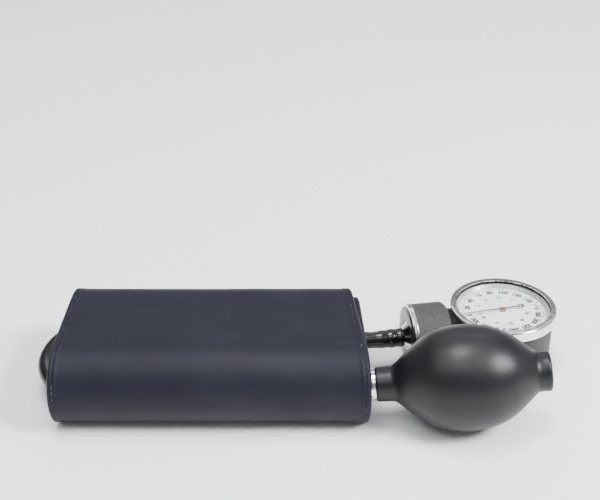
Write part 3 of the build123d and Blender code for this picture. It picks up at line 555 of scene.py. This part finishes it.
def stitches(name, stations, edges):
    """All threads along both hems of a strip, as one piece."""
    left_points, left_faces = stitch_row(stations, edges, -1)
    right_points, right_faces = stitch_row(stations, edges, 1)
    shift = len(left_points)
    faces = left_faces + [tuple(v + shift for v in face) for face in right_faces]
    return mesh_piece(name, left_points + right_points, faces)


wound = [*flat_run(SPLIT_Y, FRONT_Y, TOP[1], 1.0), *front_bend(1)]
wound += [*flat_run(FRONT_Y, BACK_Y, BOTTOM[1], -1.0)]
outer_count = len(wound)
wound += [*back_bend(2), *flat_run(BACK_Y, FRONT_Y, TOP[2], 1.0)]
change_from = len(wound)
wound += [*front_bend(2)]
change_to = len(wound)
wound += [*flat_run(FRONT_Y, BACK_Y, BOTTOM[2], -1.0), *back_bend(3), *flat_run(BACK_Y, FRONT_Y, TOP[3], 1.0)]
wound += [*front_bend(3), *flat_run(FRONT_Y, BACK_Y, BOTTOM[3], -1.0), (BACK_Y, BOTTOM[3], 0.0, -1.0)]


def ends(y, share=0.0):
    """Left edge and width of the strip at a place across the roll; share goes from outer to inner turns."""
    left = OUTER_LEFT[0] + OUTER_LEFT[1] * y
    right = OUTER_RIGHT[0] + OUTER_RIGHT[1] * y
    left += (INNER_LEFT[0] + INNER_LEFT[1] * y - left) * share
    right += (INNER_RIGHT[0] + INNER_RIGHT[1] * y - right) * share
    return left, right - left


def wound_edges(index):
    """Left edge, width, half thickness and liveliness of the wound strip at a station."""
    share = max(0.0, min(1.0, (index - change_from) / (change_to - change_from)))
    lively = max(0.15, min(1.0, (outer_count - 30 - index) / 25.0))
    left, width = ends(wound[index][0], share)
    return left, width, (TAIL_T + (LAYER_T - TAIL_T) * share) / 2, lively


def wound_profile(index):
    """Left edge and section of the wound strip at a station."""
    left, width, half, lively = wound_edges(index)
    return left, section(width, 2 * half, lively)


def run_length(stations):
    """Length along the stations, in metres."""
    pairs = zip(stations, stations[1:])
    return sum(((b[0] - a[0]) ** 2 + (b[1] - a[1]) ** 2) ** 0.5 for a, b in pairs) * MM


cuff = strip("cuff_wrap", wound, wound_profile)
dress(cuff, nylon)
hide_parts("cuff_sleeve", "bladder")
seams = stitches("cuff_stitches", wound, wound_edges)
close_normals(seams)
dress(seams, thread)

# free end of the strip, with its hook pad, and the loop pad that it closes on
FLAP_HEIGHT = (TOP[2] + BOTTOM[1]) / 2
FLAP_R = TOP[1] - FLAP_HEIGHT
LOOP_R = (TOP[2] - BOTTOM[1]) / 2 + TAIL_T / 2
PAD_T = 0.55
PAD_LEFT = -107.0
PAD_WIDTH = 116.0
PAD_COLUMNS = 60
HOOK_SPAN = (82.0, -116.0)
LOOP_SPAN = (86.0, -128.0)

flap_stations = [*flat_run(SPLIT_Y, BACK_Y, TOP[1], 1.0)]
flap_stations += [*bend(BACK_Y, FLAP_HEIGHT, FLAP_R, 90.0, -FLAP_SWEEP)]


def flap_edges(index):
    """Left edge, width, half thickness and liveliness of the flap at a station."""
    left, width = ends(flap_stations[index][0])
    return left, width, TAIL_T / 2, max(0.2, 1.0 - index / 22.0)


def flap_profile(index):
    """Left edge and section of the flap at a station."""
    left, width, half, lively = flap_edges(index)
    return left, section(width, 2 * half, lively)


def pad_profile(_):
    """Left edge and section of a hook or loop pad, the same at every station."""
    corners = [(0.0, -PAD_T / 2), (0.0, PAD_T / 2)]
    corners += [(PAD_WIDTH * k / PAD_COLUMNS, PAD_T / 2) for k in range(1, PAD_COLUMNS + 1)]
    corners += [(PAD_WIDTH * k / PAD_COLUMNS, -PAD_T / 2) for k in range(PAD_COLUMNS, 0, -1)]
    return PAD_LEFT, [(x, off, 0.0) for x, off in corners]


flap = strip("flap_cloth", flap_stations, flap_profile)
dress(flap, nylon, body=None)
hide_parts("cuff_flap")
flap_seams = stitches("flap_stitches", flap_stations, flap_edges)
close_normals(flap_seams)
dress(flap_seams, thread, body=None)
hook_r = FLAP_R - TAIL_T / 2 - PAD_T / 2
hook = strip("hook_tape", [*bend(BACK_Y, FLAP_HEIGHT, hook_r, *HOOK_SPAN)], pad_profile)
dress(hook, hook_look, body=None)
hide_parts("hook_patch")
for piece in (flap, flap_seams, hook):
    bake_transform(piece)
loop_pad_r = LOOP_R + PAD_T / 2
loop_pad = strip("loop_tape", [*bend(BACK_Y, FLAP_HEIGHT, loop_pad_r, *LOOP_SPAN)], pad_profile)
dress(loop_pad, loop_look)
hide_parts("loop_patch")
run_length(wound)
run_length(flap_stations)

# ---------------------------------------------------------------- turned pieces
def lathe(name, profile, start, axis, turns=96):
    """Closed piece turned about an axis; profile holds distance along it and radius."""
    axis = axis.normalized()
    across = axis.orthogonal().normalized()
    up = axis.cross(across)
    points, faces = [], []
    for distance, radius in profile:
        for k in range(turns):
            angle = 2 * pi * k / turns
            points.append(tuple(start + axis * distance + (across * cos(angle) + up * sin(angle)) * radius))
    rows = len(profile)
    for row in range(rows):
        after = (row + 1) % rows
        for k in range(turns):
            right = (k + 1) % turns
            faces.append((row * turns + k, row * turns + right, after * turns + right, after * turns + k))
    piece = mesh_piece(name, points, faces)
    close_normals(piece)
    return piece


def eased(points, steps):
    """Smooth curve through profile points."""
    padded = [points[0], *points, points[-1]]
    for k in range(len(points) - 1):
        p0, p1, p2, p3 = (Vector(p) for p in padded[k : k + 4])
        for step in range(steps):
            t = step / steps
            yield tuple(
                0.5 * (2 * p1 + (p2 - p0) * t + (2 * p0 - 5 * p1 + 4 * p2 - p3) * t**2)
                + 0.5 * (3 * p1 - p0 - 3 * p2 + p3) * t**3
            )
    yield points[-1]


BULB_OUTSIDE = [
    (-40.3, 5.5),
    (-40.5, 7.2),
    (-40.1, 7.8),
    (-39.0, 8.0),
    (-35.0, 8.2),
    (-31.5, 8.9),
    (-26.0, 13.6),
    (-16.3, 20.9),
    (-8.0, 23.6),
    (0.0, 24.4),
    (7.5, 23.8),
    (14.3, 22.2),
    (21.5, 18.7),
    (27.5, 14.0),
    (31.8, 10.2),
    (33.6, 9.3),
    (36.0, 9.05),
    (37.8, 9.15),
    (38.7, 8.7),
    (39.0, 7.8),
    (38.7, 6.0),
    (38.4, 5.42),
]
BULB_INSIDE = [
    (30.5, 5.42),
    (26.0, 12.0),
    (13.6, 19.7),
    (0.0, 21.8),
    (-15.6, 18.4),
    (-24.6, 11.3),
    (-29.5, 5.42),
]
bulb = lathe("squeeze_bulb", [*eased(BULB_OUTSIDE, 5), *eased(BULB_INSIDE, 5)], BULB_CENTRE, BULB_AXIS)
dress(bulb, bulb_look)
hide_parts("bulb")

# hose ends, swollen where they are pushed over the barbs
SWELLING = [
    (0.0, 3.0),
    (0.0, 4.5),
    (0.5, 4.75),
    (1.6, 4.75),
    (2.6, 4.5),
    (3.8, 4.52),
    (5.0, 4.75),
    (6.2, 4.7),
    (7.4, 4.42),
    (8.8, 4.4),
    (10.2, 4.5),
    (11.6, 4.38),
    (14.0, 4.1),
    (19.0, 3.85),
    (24.0, 3.4),
]
HOSE_BORE_R = 2.4


def hose_end(name, start, axis):
    """Swollen last stretch of a hose, drawn over the tube that starts inside it."""
    profile = [*eased(SWELLING, 3), (SWELLING[-1][0], HOSE_BORE_R), (0.0, HOSE_BORE_R)]
    dress(lathe(name, profile, start, axis, turns=48), hose_look)


hose_end("gauge_tube_end", on_stem(HOSE_END + 0.2), STEM_AXIS)
hose_end("bulb_tube_end", on_bulb(-62.7), -BULB_AXIS)

# ---------------------------------------------------------------- dial markings
DIAL_Z = 26.8
ZERO_ANGLE = 194.1
SWEEP = 342.0
INK_RISE = 0.03
LONG_TICK_WEIGHT = 1.5
FIGURE_WEIGHT = 0.065


def spot(radius, angle, z):
    """Point above the gauge's base, by radius and angle about its middle."""
    return GAUGE_CENTRE + Vector((cos(angle) * radius, sin(angle) * radius, z))


def ticks(name, full, step, long_every, inner, short_outer, long_outer, width):
    """Fine lines of a scale, with every so many longer and thicker."""
    points, faces = [], []
    count = round(full / step)
    for k in range(count + 1):
        angle = radians(ZERO_ANGLE - SWEEP * k / count)
        outer = long_outer if k % long_every == 0 else short_outer
        thick = width * (LONG_TICK_WEIGHT if k % long_every == 0 else 1.0)
        side = Vector((-sin(angle), cos(angle), 0.0)) * thick / 2
        near, far = spot(inner, angle, DIAL_Z + INK_RISE), spot(outer, angle, DIAL_Z + INK_RISE)
        base = len(points)
        points += [tuple(near - side), tuple(far - side), tuple(far + side), tuple(near + side)]
        faces.append((base, base + 1, base + 2, base + 3))
    piece = mesh_piece(name, points, faces, smooth=False)
    dress(piece, ink_look)


def numbers(name, full, step, radius, height):
    """Numbers of a scale, their feet towards the middle."""
    parts = []
    for k in range(round(full / step) + 1):
        angle = radians(ZERO_ANGLE - SWEEP * k * step / full)
        text = bpy.data.curves.new(f"{name}_{k}", "FONT")
        text.body = str(round(k * step))
        text.size = height * MM
        text.offset = height * MM * FIGURE_WEIGHT
        text.align_x = "CENTER"
        text.align_y = "CENTER"
        figure = link(f"{name}_{k}", text)
        bpy.context.view_layer.update()
        mesh = bpy.data.meshes.new_from_object(figure.evaluated_get(bpy.context.evaluated_depsgraph_get()))
        place = Matrix.Translation(spot(radius, angle, DIAL_Z + INK_RISE) * MM)
        mesh.transform(place @ Matrix.Rotation(angle - pi / 2, 4, "Z"))
        parts.append(mesh)
        bpy.data.objects.remove(figure)
    work = bmesh.new()
    for mesh in parts:
        work.from_mesh(mesh)
        bpy.data.meshes.remove(mesh)
    joined = bpy.data.meshes.new(name)
    work.to_mesh(joined)
    work.free()
    dress(link(name, joined), ink_look)


OUTER_TICKS = {"inner": 19.3, "short_outer": 20.3, "long_outer": 21.4, "width": 0.26}
INNER_TICKS = {"inner": 13.4, "short_outer": 14.0, "long_outer": 14.6, "width": 0.18}
ticks("dial_ticks", full=300, step=2, long_every=10, **OUTER_TICKS)
numbers("dial_numbers", full=300, step=20, radius=17.3, height=3.5)
ticks("inner_ticks", full=40, step=0.5, long_every=8, **INNER_TICKS)
numbers("inner_numbers", full=40, step=4, radius=11.9, height=2.3)

# the end disc's face is duller than its rim
FACE_AT = 48.4
FACE_T = 0.05
FACE_INNER_R = 5.4
FACE_OUTER_R = 15.2
face_profile = [(FACE_AT, FACE_INNER_R), (FACE_AT + FACE_T, FACE_INNER_R)]
face_profile += [(FACE_AT + FACE_T, FACE_OUTER_R), (FACE_AT, FACE_OUTER_R)]
face = lathe("disc_face", face_profile, on_stem(0.0), STEM_AXIS)
dress(face, dull_chrome)

# ---------------------------------------------------------------- floor and light
FLOOR_HALF = 3
floor = bpy.data.meshes.new("floor")
corners = [(-1, -1), (1, -1), (1, 1), (-1, 1)]
floor.from_pydata([(x * FLOOR_HALF, y * FLOOR_HALF, 0) for x, y in corners], [], [(0, 1, 2, 3)])
floor_piece = link("floor", floor)
floor_look = Look("pale_floor", 0.7)
floor_look.colour(floor_look.noise(3.0), (0.3, grey(0.90)), (0.7, grey(0.92)))
floor.materials.append(floor_look.material)


def softbox(name, place, aim, size, power):
    """Rectangular area light aimed at a point, all in metres."""
    light = bpy.data.lights.new(name, "AREA")
    light.shape = "RECTANGLE"
    light.size, light.size_y = size
    light.energy = power
    lamp = link(name, light)
    lamp.location = place
    lamp.rotation_euler = (Vector(aim) - Vector(place)).to_track_quat("-Z", "Y").to_euler()


CENTRE = (0.0, 0.0, 0.02)
softbox("key_light", (-0.25, -0.62, 1.15), CENTRE, (1.0, 0.5), 6.0)
softbox("top_light", (-0.12, 0.02, 1.35), CENTRE, (0.5, 0.4), 15.0)
softbox("right_light", (0.92, -0.38, 1.0), (0.07, -0.03, 0.02), (0.42, 0.42), 36.0)
softbox("far_light", (0.1, 0.8, 0.75), CENTRE, (1.0, 0.35), 2.0)

# brightness of the surroundings by height, from straight below to straight above
SKY = [(0.0, 0.75), (0.14, 0.70), (0.30, 0.30), (0.55, 0.26), (0.80, 0.85), (1.0, 1.0)]
world = bpy.data.worlds.new("studio")
world.use_nodes = True
sky = world.node_tree.nodes
direction = sky.new("ShaderNodeTexCoord")
split = sky.new("ShaderNodeSeparateXYZ")
bands = sky.new("ShaderNodeValToRGB")
bands.color_ramp.elements[0].color = (*grey(SKY[0][1], -0.02), 1.0)
bands.color_ramp.elements[1].color = (*grey(SKY[-1][1], -0.02), 1.0)
for height, brightness in SKY[1:-1]:
    bands.color_ramp.elements.new(height).color = (*grey(brightness, -0.02), 1.0)
world.node_tree.links.new(direction.outputs["Generated"], split.inputs["Vector"])
world.node_tree.links.new(split.outputs["Z"], bands.inputs["Fac"])
world.node_tree.links.new(bands.outputs["Color"], sky["Background"].inputs["Color"])
sky["Background"].inputs["Strength"].default_value = 1.1
scene.world = world
